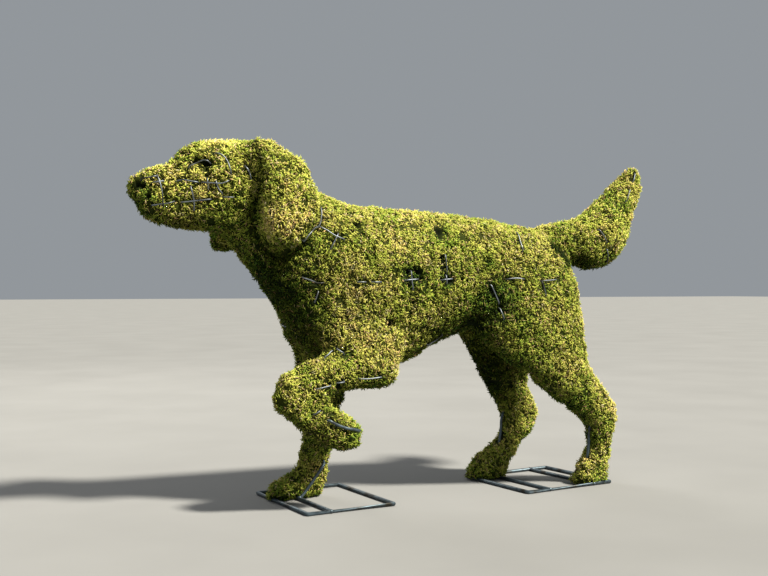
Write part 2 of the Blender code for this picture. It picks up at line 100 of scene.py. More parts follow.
# Tufts of strands
TUFTS = 61000
TUFT_WIDTH = 0.0045
TUFT_TINT_SPREAD = 0.07
FLOW_SIZE = 0.05  # patches in which the tufts lie the same way
FLOW_OFFSETS = (20.0, 27.0, 34.0)
FLOW_DROOP = (0.15, 0.0, -0.20)  # the way that they lie on the whole
FLOW_STRAY = 0.48  # how much each tuft strays from it
PITS = ((0.0065, 0.65, 31.0), (0.0150, 0.55, 31.0))  # pits between the tufts
PIT_RIM = 0.26  # the lower, the more pits
PIT_SHOULDER = 0.22  # how far below the rim the strands start to get shorter
PIT_SHORTENING = 2.2
PIT_SHORTEST, PIT_LONGEST = 0.55, 1.15
GAP_THINNING = 0.92  # share of the tufts that are missing in the middle of a gap
GAP_SURROUND = 1.7  # tufts are shorter as far round a gap as this many times its width
GAP_SHORTENING = 0.65
TUFT_CLEAR = 0.0030  # no tuft grows nearer to a bare wire
WIRE_SHORT_FROM = 0.002  # from here off a bare wire the tufts get longer,
WIRE_SHORT_OVER = 0.008  # up to their whole length over this way
WIRE_SHORTEST = 0.35

# Strands
STRANDS_PER_TUFT = 4
STRAND_LENGTH = (0.0060, 0.0135)
STRAND_WIDTH = (0.0016, 0.0032)
LEAN = (38, 96)  # of a strand from the surface's own normal, in degrees
FAN = 75  # how far a tuft's strands spread to either side of its own way, in degrees
ROOT_DEPTH = 0.0015
ROOT_SPREAD = 0.5  # of a tuft's roots to either side, as a share of its width
WAIST_LEAN, TIP_LEAN = 0.7, 1.15  # how much of its lean a strand has below and above its waist
TIP_BEND = 0.12
MOST_LEAN = 1.75
BLADE_TWIST = 0.8
STRAND_TINTS = (0.02, 0.98)
STRAND_TINT_SPREAD = 0.06
STRAND_BRIGHTNESS = (0.18, 1.0)
STRAND_BRIGHTNESS_SPREAD = 0.07
DRY_STRANDS = 0.07  # share of the strands that are drier than their tuft
DRY_SHIFT = 0.30
STRAWS = 0.04  # share of the strands that are long, thin and pale
STRAW_LENGTH = 0.015
STRAW_WIDTH = 0.0014
STRAW_LEAN = (66, 92)
STRAW_TINT = 0.84
STRAW_TINT_SHARE = 0.2  # how much of its tuft's tint a straw takes on
GAP_COVER = 0.35  # a strand whose tip lies deeper than this in a gap is left out
WIRE_CLEAR = 0.0042  # and most of those that come so near to a bare wire
WIRE_COVER = 0.15
# A strand is a bent blade: root, two corners of its waist, tip
STRAND_FACES = np.array([(0, 2, 1), (3, 1, 2), (0, 1, 3), (0, 3, 2)])
CORNER_TINTS = np.array([0.0, -0.005, 0.005, 0.0])  # so that no face is a mere line on the map
CORNER_BRIGHTNESS = np.array([0.10, 0.62, 0.62, 0.98])

# Where the strands are parted into pieces
HEAD_REAR, HEAD_FLOOR = 0.36, 0.50
LEGS_TOP, LEGS_PARTING = 0.33, 0.56
CHEST_REAR, BARREL_REAR = 0.52, 0.76

# Steel
BAR_RADIUS = 0.004
INNER_BAR_RADIUS = 0.0038
LEG_ROD_RADIUS = 0.003
WIRE_RADIUS = 0.0014
BAR_SIDES = 20
LEG_ROD_SIDES = 12
WIRE_SIDES = 8
CORNER_CUT = 0.0025  # how far before a corner a base frame's rod starts to turn
WIRE_STEP = 0.007
WIRE_LIFT = 0.0008  # middle of a wire over the moss outline where it shows
WIRE_DIVE = -0.0200  # and where it runs under the moss
DIVE_RUN = 0.009  # how far past its shown end a wire is under
RISE_SIZE = 0.055  # stretches in which a buried wire comes up
RISE_STRENGTH = 4.0
RISE_SINK = 0.9  # the lower, the more of it comes up
FAR_SIDE = 0.012  # where the far side begins, the only one on which it may come up
WIRE_SEED_STEP = 3.1
LONG_WIRE_SEED = 40.0
SHARPEST_MITRE = 0.5
END_CAP = ((0.3, 0.9), (0.6, 0.6), (0.75, 0.04))  # how far out, in radii, and how wide each ring is
BEAD_RADIUS = 0.0046
BEAD_LIFT = 0.0006
FOOT_BEAD_LIFT = 0.002
BEAD_ROWS, BEAD_SIDES = 7, 12
BEAD_FLATNESS = 0.8
BEAD_LUMPS, BEAD_LUMP_RATE = 0.22, 1.9
BEAD_SEED_STEP = 5.0

# Look of the steel: each pattern's scale, detail and roughness, and where along it a tone begins
BLACK, WHITE = (0, 0, 0), (1, 1, 1)
WIRE_TONES = ((0.05, 0.06, 0.07), (0.16, 0.18, 0.20), (0.03, 0.03, 0.025))  # dark, light, rust
BAR_TONES = ((0.025, 0.035, 0.045), (0.08, 0.11, 0.13), (0.03, 0.027, 0.02))
MOTTLE = (60.0, 6.0, 0.65)
MOTTLE_STOPS = (0.30, 0.52, 0.75)  # dark, light and dark again
RUST = (23.0, 5.0)
RUST_STOPS = (0.54, 0.66)  # none and full
PITTING = (220.0, 4.0)
PITTING_STRENGTH, PITTING_DEPTH = 0.35, 0.0004
STEEL_ROUGHNESS = (0.28, 0.60)
STEEL_METALLIC = 0.65

# The studio
CAMERA_PLACE = (-1.046, -2.0, 0.44)
CAMERA_TURN = -26.0
CAMERA_LENS, CAMERA_SENSOR = 49.2, 36.0  # in millimetres
FLOOR_HALF = 40.0
FLOOR_MOTTLE = 2.5
FLOOR_TONES = ((0.3, (0.20, 0.20, 0.197)), (0.7, (0.22, 0.22, 0.217)))
FLOOR_ROUGHNESS = 0.9
BACKDROP_COLOUR, BACKDROP_STRENGTH = (0.80, 0.86, 0.92), 0.36
KEY_DIRECTION = (0.42, -0.485, 0.766)
KEY_COLOUR, KEY_POWER, KEY_ANGLE = (1.0, 0.95, 0.83), 9.2, 7
BACK_PLACE = Vector((-0.5, 3.0, 2.6))
BACK_TARGET = Vector((0.0, 0.0, 0.35))
BACK_COLOUR, BACK_POWER, BACK_SIZE = (1.0, 0.96, 0.88), 45, 1.6

# Dark gaps in the moss, holes that are also darkened with painted shade, as (back, up) and how wide
GAPS = (
    (0.122, 0.684, 0.006),  # eye
    (0.133, 0.682, 0.007),
    (0.142, 0.680, 0.006),
    (0.136, 0.668, 0.005),
    (0.137, 0.656, 0.004),
    (0.010, 0.638, 0.006),  # nostril
    (0.020, 0.634, 0.005),
    (0.030, 0.613, 0.005),
    (0.629, 0.562, 0.010),  # high on the barrel
    (0.627, 0.548, 0.006),
    (0.626, 0.505, 0.004),  # beside the upright wire on the barrel
    (0.626, 0.494, 0.004),
    (0.626, 0.482, 0.004),
    (0.638, 0.458, 0.005),  # round the crossed wires below it
    (0.622, 0.460, 0.004),
    (0.648, 0.456, 0.004),
    (0.673, 0.459, 0.004),
    (0.440, 0.568, 0.007),  # withers
    (0.544, 0.474, 0.005),  # round the crossed wires behind the shoulder
    (0.558, 0.480, 0.004),
    (0.568, 0.472, 0.006),
    (0.574, 0.460, 0.004),
    (0.545, 0.447, 0.004),
    (0.556, 0.412, 0.004),
    (0.505, 0.370, 0.005),
    (0.748, 0.436, 0.004),  # flank
    (0.766, 0.396, 0.004),
    (0.383, 0.245, 0.006),  # crook of the raised leg
    (1.007, 0.125, 0.004),
    (0.925, 0.536, 0.006),  # tail root
    (1.089, 0.516, 0.004),
)
FAR_GAPS = (  # the same on the dog's other side
    (0.122, 0.684, 0.006),
    (0.134, 0.682, 0.007),
    (0.143, 0.680, 0.006),
    (0.014, 0.636, 0.006),
    (0.520, 0.540, 0.005),
    (0.700, 0.420, 0.005),
    (0.405, 0.470, 0.005),
)

# Creases pressed into the moss, each a line of (back, up) with its width, its depth and how much
# painted shade darkens it
EAR_CREASE = (
    (0.222, 0.722),
    (0.230, 0.690),
    (0.234, 0.650),
    (0.232, 0.617),
    (0.227, 0.589),
    (0.229, 0.556),
    (0.243, 0.523),
    (0.268, 0.498),
    (0.299, 0.498),
    (0.322, 0.528),
)
TAIL_CREASE = (
    (0.921, 0.546),
    (0.926, 0.533),
    (0.938, 0.520),
    (0.952, 0.508),
    (0.962, 0.494),
)
CREASES = (
    (EAR_CREASE, 0.011, 0.009, 0.6),
    (((0.322, 0.528), (0.338, 0.564), (0.346, 0.584)), 0.008, 0.005, 0.5),  # back of the ear
    (((0.700, 0.360), (0.730, 0.372), (0.765, 0.395)), 0.012, 0.006, 0.6),  # flank fold
    (TAIL_CREASE, 0.011, 0.010, 0.95),
    (((0.549, 0.430), (0.549, 0.330)), 0.005, 0.003, 0.4),  # moss parted over the hoops
    (((0.631, 0.450), (0.631, 0.345)), 0.005, 0.002, 0.3),
    (((0.432, 0.600), (0.400, 0.530), (0.360, 0.440)), 0.004, 0.002, 0.3),
)

# Patches of another look, as (back, up, side), how wide, how far along the palette and how bright.
# The brightness is mostly painted light where it is raised and painted shade where it is lowered
PATCHES_AND_PAINTED_LIGHT = (
    ((0.090, 0.640, -0.035), 0.070, 0.13, 0.40),  # muzzle, painted light
    ((0.012, 0.655, 0.000), 0.028, 0.10, 0.16),  # top of the nose, painted light
    ((-0.002, 0.600, 0.000), 0.030, -0.14, -0.22),  # its front, painted shade
    ((0.090, 0.562, -0.025), 0.034, 0.12, -0.30),  # painted shade under the muzzle
    ((0.190, 0.680, -0.060), 0.060, 0.04, 0.16),  # cheek and brow, painted light
    ((0.170, 0.725, -0.030), 0.050, 0.08, 0.22),
    ((0.295, 0.640, -0.100), 0.070, 0.12, 0.18),  # near ear, painted light
    ((0.258, 0.560, -0.095), 0.035, 0.08, 0.28),
    ((0.300, 0.560, -0.110), 0.035, 0.08, 0.10),
    ((0.410, 0.420, -0.110), 0.070, 0.12, -0.12),  # shoulder, painted shade, and upper arm
    ((0.460, 0.330, -0.110), 0.060, 0.12, 0.00),
    ((0.330, 0.270, -0.130), 0.060, 0.10, 0.06),  # forearm, painted light
    ((0.365, 0.178, -0.130), 0.040, -0.04, -0.24),  # raised paw, painted shade
    ((0.560, 0.580, -0.060), 0.100, 0.04, 0.14),  # top of the barrel, painted light
    ((0.630, 0.345, -0.080), 0.060, 0.00, -0.16),  # belly, painted shade
    ((0.775, 0.385, -0.105), 0.050, -0.08, -0.22),  # painted shade in front of the thigh
    ((0.870, 0.520, -0.080), 0.080, 0.07, 0.00),  # croup
    ((0.960, 0.360, -0.100), 0.070, 0.05, 0.00),
    ((1.130, 0.620, -0.030), 0.110, 0.03, 0.27),  # tail, painted light
    ((1.035, 0.495, -0.022), 0.040, -0.14, -0.32),  # painted shade under it
    ((0.925, 0.537, -0.060), 0.015, -0.14, -0.65),  # painted shade in the hollow beside its root
    ((0.939, 0.528, -0.051), 0.018, -0.14, -0.75),
    ((0.955, 0.518, -0.048), 0.019, -0.14, -0.75),
    ((0.971, 0.502, -0.050), 0.020, -0.14, -0.65),
    ((1.060, 0.190, -0.070), 0.050, 0.12, 0.08),  # hock, painted light
    ((1.000, 0.110, -0.080), 0.028, -0.10, -0.35),  # painted shade on the front of the near hind pastern
    ((0.945, 0.150, 0.060), 0.040, 0.12, 0.00),
    ((0.990, 0.040, -0.090), 0.050, 0.08, 0.18),  # hind paw, painted light
    ((0.395, 0.060, 0.010), 0.060, 0.06, 0.00),
    ((0.750, 0.435, -0.095), 0.040, -0.28, -0.16),  # fresh growth on the flank
    ((0.739, 0.493, -0.099), 0.012, -0.34, -0.24),
    ((0.562, 0.470, -0.105), 0.026, -0.30, -0.22),
    ((0.640, 0.456, -0.105), 0.020, -0.28, -0.20),
    ((0.225, 0.620, -0.070), 0.040, -0.16, -0.12),  # painted shade in the crease in front of the ear
    ((0.280, 0.470, -0.040), 0.060, -0.14, -0.30),  # painted shade on the front of the neck
    ((0.310, 0.370, -0.040), 0.070, -0.14, -0.26),  # chest, painted shade
    ((0.700, 0.340, -0.080), 0.060, -0.12, -0.26),  # painted shade in the flank fold
    ((0.840, 0.260, 0.060), 0.100, -0.12, -0.42),  # far hind leg, painted shade
    ((0.350, 0.150, 0.000), 0.060, -0.06, -0.14),  # standing foreleg, painted shade
    ((0.440, 0.215, 0.030), 0.035, -0.10, -0.30),
    ((0.440, 0.235, -0.110), 0.030, -0.05, -0.20),  # painted shade under the near elbow
    ((0.380, 0.600, 0.090), 0.060, 0.10, 0.06),
    ((0.760, 0.470, 0.100), 0.060, -0.20, -0.06),
)

# Places where the mat swells or is thinner, as (back, up, side), how wide and how much
SWELLS = (
    ((0.272, 0.250, -0.120), 0.035, 0.0040),  # wrist
    ((0.279, 0.212, -0.121), 0.022, 0.0060),
    ((0.262, 0.240, -0.098), 0.026, 0.0035),  # its front
    ((0.267, 0.211, -0.110), 0.022, 0.0050),
    ((0.290, 0.282, -0.088), 0.030, -0.0090),  # its top
    ((0.356, 0.298, 0.050), 0.030, -0.0140),  # foot of the chest beyond it
    ((0.335, 0.345, 0.058), 0.028, 0.0040),
    ((0.505, 0.270, -0.120), 0.020, -0.0040),  # elbow
    ((0.110, 0.705, -0.020), 0.030, 0.0020),  # brow
    ((0.090, 0.700, -0.005), 0.018, 0.0045),
    ((0.070, 0.690, -0.010), 0.020, -0.0030),  # stop in front of it
    ((0.010, 0.655, -0.005), 0.016, 0.0055),  # top of the nose
    ((0.002, 0.620, 0.000), 0.016, -0.0040),  # front of the nose
    ((0.315, 0.682, -0.085), 0.030, 0.0080),  # back of the ear
    ((0.247, 0.572, -0.103), 0.018, 0.0055),  # its front edge
    ((0.285, 0.522, -0.095), 0.025, 0.0050),  # its lobe
    ((0.378, 0.642, -0.025), 0.042, -0.0110),  # nape
    ((0.390, 0.620, -0.045), 0.026, -0.0080),
    ((0.835, 0.578, -0.050), 0.030, -0.0060),  # in front of the tail root
    ((0.966, 0.522, -0.060), 0.024, -0.0100),  # beside it
    ((0.948, 0.532, -0.056), 0.018, -0.0070),
    ((1.170, 0.600, -0.030), 0.040, -0.0060),  # back of the tail
    ((1.190, 0.716, -0.010), 0.020, 0.0050),  # its tip
    ((0.970, 0.440, -0.085), 0.035, 0.0050),  # back of the near thigh
    ((0.330, 0.150, 0.010), 0.035, -0.0050),  # front of the standing foreleg
    ((0.368, 0.105, 0.048), 0.030, -0.0100),
    ((0.455, 0.212, 0.035), 0.022, 0.0055),  # its back
    ((0.860, 0.240, -0.080), 0.035, -0.0060),  # front of the near thigh
    ((0.850, 0.246, -0.069), 0.028, -0.0120),
    ((0.775, 0.315, 0.060), 0.022, 0.0050),  # front of the far thigh
    ((0.909, 0.246, 0.036), 0.024, -0.0070),  # its back
    ((0.915, 0.215, 0.040), 0.035, -0.0060),
    ((0.931, 0.225, 0.045), 0.022, -0.0060),
    ((0.918, 0.080, 0.056), 0.028, -0.0070),  # back of the far hind pastern
    ((0.905, 0.035, 0.058), 0.022, -0.0060),
    ((0.970, 0.155, -0.080), 0.030, -0.0030),  # front of the near hock
    ((1.000, 0.085, -0.080), 0.028, -0.0100),  # front of the near hind pastern
    ((0.972, 0.030, -0.077), 0.022, -0.0060),
    ((0.820, 0.085, 0.070), 0.032, -0.0110),  # top of the far hind paw
    ((0.850, 0.110, 0.070), 0.025, -0.0050),
)

# Short stretches of cage wire that show on the near side
HEAD_WIRES = (
    ((0.020, 0.646), (0.035, 0.649), (0.046, 0.651)),
    ((0.039, 0.639), (0.058, 0.642)),
    ((0.048, 0.653), (0.052, 0.638), (0.055, 0.621), (0.058, 0.595)),
    ((0.038, 0.596), (0.052, 0.598), (0.066, 0.600), (0.076, 0.603)),
    ((0.083, 0.643), (0.095, 0.645), (0.106, 0.643), (0.119, 0.641)),
    ((0.129, 0.641), (0.146, 0.640), (0.165, 0.640), (0.176, 0.645)),
    ((0.137, 0.647), (0.139, 0.630)),
    ((0.153, 0.644), (0.157, 0.631), (0.165, 0.621)),
    ((0.094, 0.603), (0.111, 0.605), (0.125, 0.607), (0.143, 0.609)),
    ((0.107, 0.631), (0.112, 0.615), (0.115, 0.598), (0.115, 0.588)),
    ((0.171, 0.614), (0.186, 0.614)),
    ((0.157, 0.699), (0.168, 0.695), (0.176, 0.684), (0.182, 0.662)),
    ((0.107, 0.672), (0.120, 0.678), (0.132, 0.684), (0.140, 0.682)),
    ((0.211, 0.675), (0.218, 0.664), (0.221, 0.652)),
)
BODY_WIRES = (
    ((0.364, 0.599), (0.361, 0.580), (0.358, 0.566), (0.353, 0.560)),
    ((0.351, 0.560), (0.331, 0.549), (0.320, 0.537), (0.317, 0.531)),
    ((0.360, 0.560), (0.373, 0.553), (0.388, 0.543), (0.404, 0.537)),
    ((0.393, 0.547), (0.385, 0.533), (0.376, 0.519)),
    ((0.323, 0.460), (0.335, 0.456), (0.348, 0.450), (0.359, 0.450)),
    ((0.350, 0.432), (0.344, 0.413)),
    ((0.432, 0.452), (0.446, 0.452)),
    ((0.462, 0.452), (0.480, 0.452)),
    ((0.537, 0.456), (0.564, 0.458)),
    ((0.549, 0.473), (0.550, 0.452), (0.552, 0.438)),
    ((0.631, 0.508), (0.632, 0.494), (0.634, 0.475)),
    ((0.623, 0.457), (0.645, 0.459)),
    ((0.631, 0.465), (0.632, 0.450)),
    ((0.785, 0.459), (0.806, 0.461), (0.825, 0.459)),
    ((0.871, 0.455), (0.911, 0.458)),
    ((0.871, 0.453), (0.876, 0.440), (0.880, 0.425)),
    ((0.828, 0.560), (0.828, 0.542), (0.829, 0.522)),
    ((0.746, 0.445), (0.755, 0.429), (0.763, 0.409)),
    ((0.765, 0.395), (0.772, 0.376)),
    ((0.611, 0.321), (0.629, 0.331), (0.641, 0.341)),
    ((0.358, 0.305), (0.373, 0.315)),
    ((0.384, 0.320), (0.394, 0.313)),
    ((0.334, 0.246), (0.349, 0.249), (0.360, 0.251)),
    ((0.378, 0.256), (0.389, 0.257)),
    ((0.424, 0.262), (0.442, 0.261), (0.461, 0.262), (0.472, 0.263)),
    ((0.331, 0.198), (0.340, 0.203)),
    ((1.194, 0.712), (1.190, 0.703), (1.184, 0.693)),
    ((1.169, 0.671), (1.156, 0.646)),
    ((1.070, 0.574), (1.082, 0.560), (1.090, 0.546)),
    ((1.092, 0.528), (1.103, 0.501)),
)
PAW_ROD = (
    (0.359, 0.183),
    (0.376, 0.174),
    (0.394, 0.167),
    (0.407, 0.164),
    (0.426, 0.159),
)

# The cage's hoops, each in the plane through two opposite points of the outline as (back, up)
BODY_HOOPS = (
    ((0.385, 0.650), (0.270, 0.450)),
    ((0.432, 0.635), (0.300, 0.310)),
    ((0.549, 0.610), (0.549, 0.275)),
    ((0.631, 0.610), (0.631, 0.315)),
)
MUZZLE_HOOPS = (
    ((0.053, 0.680), (0.057, 0.560)),
    ((0.111, 0.712), (0.118, 0.552)),
    ((0.150, 0.728), (0.152, 0.549)),
)
# Long wires, as (back, up) along the dog's far side
FLANK_WIRE = ((0.268, 0.474), (0.362, 0.456), (0.480, 0.456), (0.700, 0.458), (0.925, 0.455))
MUZZLE_WIRES = (
    ((0.036, 0.645), (0.080, 0.642), (0.184, 0.645)),
    ((0.032, 0.600), (0.090, 0.604), (0.184, 0.615)),
)


class BaseFrame(NamedTuple):
    """A welded rectangle of rod lying on the ground, as in the solids."""

    name: str
    node: str
    middle: tuple
    length: float
    width: float
    twist: float
    inner_bars: tuple
    leg_rods: tuple


BASE_FRAMES = (
    BaseFrame(
        name="front_base_rods",
        node="front_base_frame",
        middle=(0.4065, 0.010),
        length=0.194,
        width=0.243,
        twist=4.0,
        inner_bars=(0.051,),
        leg_rods=(
            (
                (0.359, 0.004, 0.028),
                (0.375, 0.020, 0.030),
                (0.396, 0.045, 0.032),
                (0.415, 0.069, 0.034),
                (0.419, 0.076, 0.044),  # from here on it lies under the moss
                (0.424, 0.120, 0.060),
            ),
        ),
    ),
    BaseFrame(
        name="rear_base_rods",
        node="rear_base_frame",
        middle=(0.930, 0.000),
        length=0.237,
        width=0.220,
        twist=6.0,
        inner_bars=(0.060, 0.187),
        leg_rods=(
            (
                (1.005, 0.004, -0.076),
                (1.007, 0.040, -0.078),
                (1.011, 0.080, -0.081),
                (1.014, 0.125, -0.082),
                (1.026, 0.155, -0.080),
            ),
            (
                (0.8645, 0.004, 0.068),
                (0.868, 0.060, 0.070),
                (0.876, 0.108, 0.072),
                (0.879, 0.140, 0.072),
                (0.896, 0.175, 0.072),
            ),
        ),
    ),
)

# Tints of the strands' tips along the palette, from fresh green to dry straw
TIP_TINTS = (
    (0.00, (0.050, 0.130, 0.022)),
    (0.18, (0.160, 0.290, 0.036)),
    (0.36, (0.380, 0.480, 0.066)),
    (0.50, (0.620, 0.630, 0.120)),
    (0.64, (0.750, 0.680, 0.180)),
    (0.78, (0.750, 0.550, 0.210)),
    (0.90, (0.680, 0.420, 0.240)),
    (1.00, (0.880, 0.830, 0.520)),
)
# How much of the tint shows from the root to the tip
ROOT_TO_TIP = (
    (0.00, (0.004, 0.006, 0.002)),
    (0.03, (0.012, 0.018, 0.007)),
    (0.22, (0.110, 0.130, 0.060)),
    (0.50, (0.640, 0.660, 0.560)),
    (0.75, (0.920, 0.920, 0.880)),
    (1.00, (1.000, 1.000, 1.000)),
)


def place(back, up, side=0.0):
    """A point, from how far back, up and to the dog's right it is."""
    return Vector((back - LENGTH / 2, side, up))


def new_material(name):
    """A new material, its node tree and its Principled shader."""
    material = bpy.data.materials.new(name)
    material.use_nodes = True
    tree = material.node_tree
    return material, tree, tree.nodes["Principled BSDF"]


def colour_ramp(tree, factor, stops):
    """A colour by the factor, from stops of position and colour."""
    ramp = tree.nodes.new("ShaderNodeValToRGB")
    elements = ramp.color_ramp.elements
    while len(elements) < len(stops):
        elements.new(0.5)
    for element, (position, colour) in zip(elements, stops):
        element.position = position
        element.color = (*colour, 1.0)
    tree.links.new(factor, ramp.inputs["Fac"])
    return ramp.outputs["Color"]


def mixed(tree, blend, factor, first, second):
    """The mix of two colours. The factor and the colours are values or other nodes' outputs."""
    mix = tree.nodes.new("ShaderNodeMix")
    mix.data_type = "RGBA"
    mix.blend_type = blend
    sockets = {"Factor": factor, "A": first, "B": second}
    for socket in mix.inputs:
        value = sockets.get(socket.name)
        if value is None or socket.type not in ("RGBA", "VALUE"):
            continue
        if (socket.name == "Factor") != (socket.type == "VALUE"):
            continue
        if hasattr(value, "links"):
            tree.links.new(value, socket)
        elif isinstance(value, tuple):
            socket.default_value = (*value, 1.0)
        else:
            socket.default_value = value
    return next(out for out in mix.outputs if out.type == "RGBA")


def noise_value(tree, scale, detail=3.0, roughness=0.5):
    """Noise through the piece's own space."""
    coordinates = tree.nodes.new("ShaderNodeTexCoord")
    texture = tree.nodes.new("ShaderNodeTexNoise")
    texture.inputs["Scale"].default_value = scale
    texture.inputs["Detail"].default_value = detail
    texture.inputs["Roughness"].default_value = roughness
    tree.links.new(coordinates.outputs["Object"], texture.inputs["Vector"])
    return texture.outputs["Fac"]


def moss_material():
    """Colour by the strand's own map: across it the tint, up it from root to tip."""
    material, tree, shader = new_material("moss")
    where = tree.nodes.new("ShaderNodeUVMap")
    where.uv_map = BAKE_MAP
    parts = tree.nodes.new("ShaderNodeSeparateXYZ")
    tree.links.new(where.outputs["UV"], parts.inputs["Vector"])
    tint = colour_ramp(tree, parts.outputs["X"], TIP_TINTS)
    height = colour_ramp(tree, parts.outputs["Y"], ROOT_TO_TIP)
    tree.links.new(mixed(tree, "MULTIPLY", 1.0, tint, height), shader.inputs["Base Color"])
    shader.inputs["Roughness"].default_value = MOSS_ROUGHNESS
    shader.inputs["Specular IOR Level"].default_value = MOSS_SPECULAR
    return material


def steel_material(name, dark, light, rust):
    """Weathered rod: mottled grey with dull spots, rust and dirt in places."""
    material, tree, shader = new_material(name)
    mottle = noise_value(tree, *MOTTLE)
    grey = colour_ramp(tree, mottle, tuple(zip(MOTTLE_STOPS, (dark, light, dark))))
    spots = noise_value(tree, *RUST)
    spots = colour_ramp(tree, spots, tuple(zip(RUST_STOPS, (BLACK, WHITE))))
    tree.links.new(mixed(tree, "MIX", spots, grey, rust), shader.inputs["Base Color"])
    rough = tree.nodes.new("ShaderNodeMapRange")
    rough.inputs["To Min"].default_value, rough.inputs["To Max"].default_value = STEEL_ROUGHNESS
    tree.links.new(mottle, rough.inputs["Value"])
    tree.links.new(rough.outputs["Result"], shader.inputs["Roughness"])
    bump = tree.nodes.new("ShaderNodeBump")
    bump.inputs["Strength"].default_value = PITTING_STRENGTH
    bump.inputs["Distance"].default_value = PITTING_DEPTH
    tree.links.new(noise_value(tree, *PITTING), bump.inputs["Height"])
    tree.links.new(bump.outputs["Normal"], shader.inputs["Normal"])
    shader.inputs["Metallic"].default_value = STEEL_METALLIC
    return material


def mesh_of(name, points, faces):
    """A mesh from an array of points and an array of triangles or quads."""
    made = bpy.data.meshes.new(name)
    made.vertices.add(len(points))
    made.vertices.foreach_set("co", np.asarray(points, np.float32).ravel())
    faces = np.asarray(faces, np.int32)
    made.loops.add(faces.size)
    made.loops.foreach_set("vertex_index", faces.ravel())
    made.polygons.add(len(faces))
    made.polygons.foreach_set("loop_start", np.arange(0, faces.size, faces.shape[1], np.int32))
    made.update(calc_edges=True)
    return made


def shade_smooth(mesh):
    mesh.polygons.foreach_set("use_smooth", np.ones(len(mesh.polygons), bool))
    mesh.update()


def add_map(mesh, places):
    """The map that the moss is coloured by, from the place on it of each corner of each face."""
    layer = mesh.uv_layers.new(name=BAKE_MAP)
    layer.uv.foreach_set("vector", places.astype(np.float32).ravel())


def add_piece(name, mesh, material, slot, *replaced):
    """A piece that rides on the body and stands for the solids that it replaces."""
    piece = bpy.data.objects.new(name, mesh)
    bpy.context.scene.collection.objects.link(piece)
    mesh.materials.clear()
    mesh.materials.append(material)
    if replaced:
        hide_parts(*replaced)
    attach(piece, BODY)
    return piece


def numbers(items, attribute, width, kind=np.float32):
    """An attribute of all the items, as an array with a row each."""
    values = np.empty(len(items) * width, kind)
    items.foreach_get(attribute, values)
    return values.reshape(-1, width)


def unit(rows):
    """The rows, each brought to length 1."""
    return rows / np.maximum(np.linalg.norm(rows, axis=1, keepdims=True), 1e-9)


def turns(count):
    """Angles at even steps round a full turn."""
    return np.arange(count) * 2 * pi / count


def noise_at(points, size, offset):
    """Smooth noise between about -1 and 1 at each point."""
    shift = Vector((offset, 0, 0))
    return np.array([noise.noise(Vector(point) / size + shift) for point in points])


def layered(points, layers, base=0.0):
    """The base and the layers of noise on it, at each point."""
    parts = (strength * noise_at(points, size, offset) for size, strength, offset in layers)
    return sum(parts, base)


def distances(wires, points):
    """How far each point is from the nearest bare wire or rod."""
    return np.array([wires.find(point)[2] for point in points])


def smooth_path(rows, step):
    """Points a step apart on a smooth curve through the rows."""
    rows = [Vector(row) for row in rows]
    if len(rows) == 2:
        rows.insert(1, (rows[0] + rows[1]) / 2)
    padded = [2 * rows[0] - rows[1], *rows, 2 * rows[-1] - rows[-2]]
    result = []
    for a, b, c, d in zip(padded, padded[1:], padded[2:], padded[3:]):
        steps = max(1, round((c - b).length / step))
        for t in np.arange(steps) / steps:
            slope = (c - a) * t + (2 * a - 5 * b + 4 * c - d) * t**2
            result.append(b + 0.5 * (slope + (3 * b - a - 3 * c + d) * t**3))
    result.append(rows[-1])
    return result


def seen_spot(skin, back, up, side=LEFT):
    """The place on the moss that is seen at (back, up) from one side of the dog."""
    outside = place(back, up, side * LENGTH)
    hit = skin.ray_cast(outside, Vector((0, -side, 0)))[0]
    return hit or skin.find_nearest(place(back, up))[0]


def on_skin(skin, point, lift):
    """The place on the moss nearest to a point, lifted off it."""
    found, normal, *_ = skin.find_nearest(point)
    return found + normal * lift


def is_outside(skin, point):
    """Whether a point lies outside the moss's outline."""
    found, normal, *_ = skin.find_nearest(point)
    return (point - found).dot(normal) > 0


def aside_from(points, skin, spot):
    """How far each point lies from the line that runs straight into the moss at a spot."""
    found, normal, *_ = skin.find_nearest(spot)
    normal = np.array(normal)
    offset = points - np.array(found)
    depth = (offset @ normal)[:, None]
    away = np.linalg.norm(offset - depth * normal, axis=1)
    return np.where(np.abs(depth[:, 0]) < HOLE_REACH, away, LENGTH)


def gap_share(points, skin, reach=1.0):
    """From 1 in the middle of the nearest gap in the moss to 0 beyond its rim."""
    share = np.zeros(len(points))
    for gaps, side in ((GAPS, LEFT), (FAR_GAPS, RIGHT)):
        for back, up, wide in gaps:
            away = aside_from(points, skin, seen_spot(skin, back, up, side))
            depth = GAP_PEAK - GAP_FALL * away / (wide * reach)
            share = np.maximum(share, np.clip(depth, 0, 1))
    return share


def crease_share(points, skin, route, wide):
    """From 1 on the crease's line to 0 beyond its rim."""
    share = np.zeros(len(points))
    line = smooth_path([seen_spot(skin, *row) for row in route], wide / CREASE_STEPS)
    for spot in line:
        away = aside_from(points, skin, spot) / wide
        share = np.maximum(share, np.exp(-CREASE_FALL * away**2))
    return share


def patch_share(points, middle, wide):
    """From 1 in the middle of a patch to 0 well outside it."""
    away = np.linalg.norm(points - np.array(place(*middle)), axis=1) / wide
    return np.exp(-(away**2))


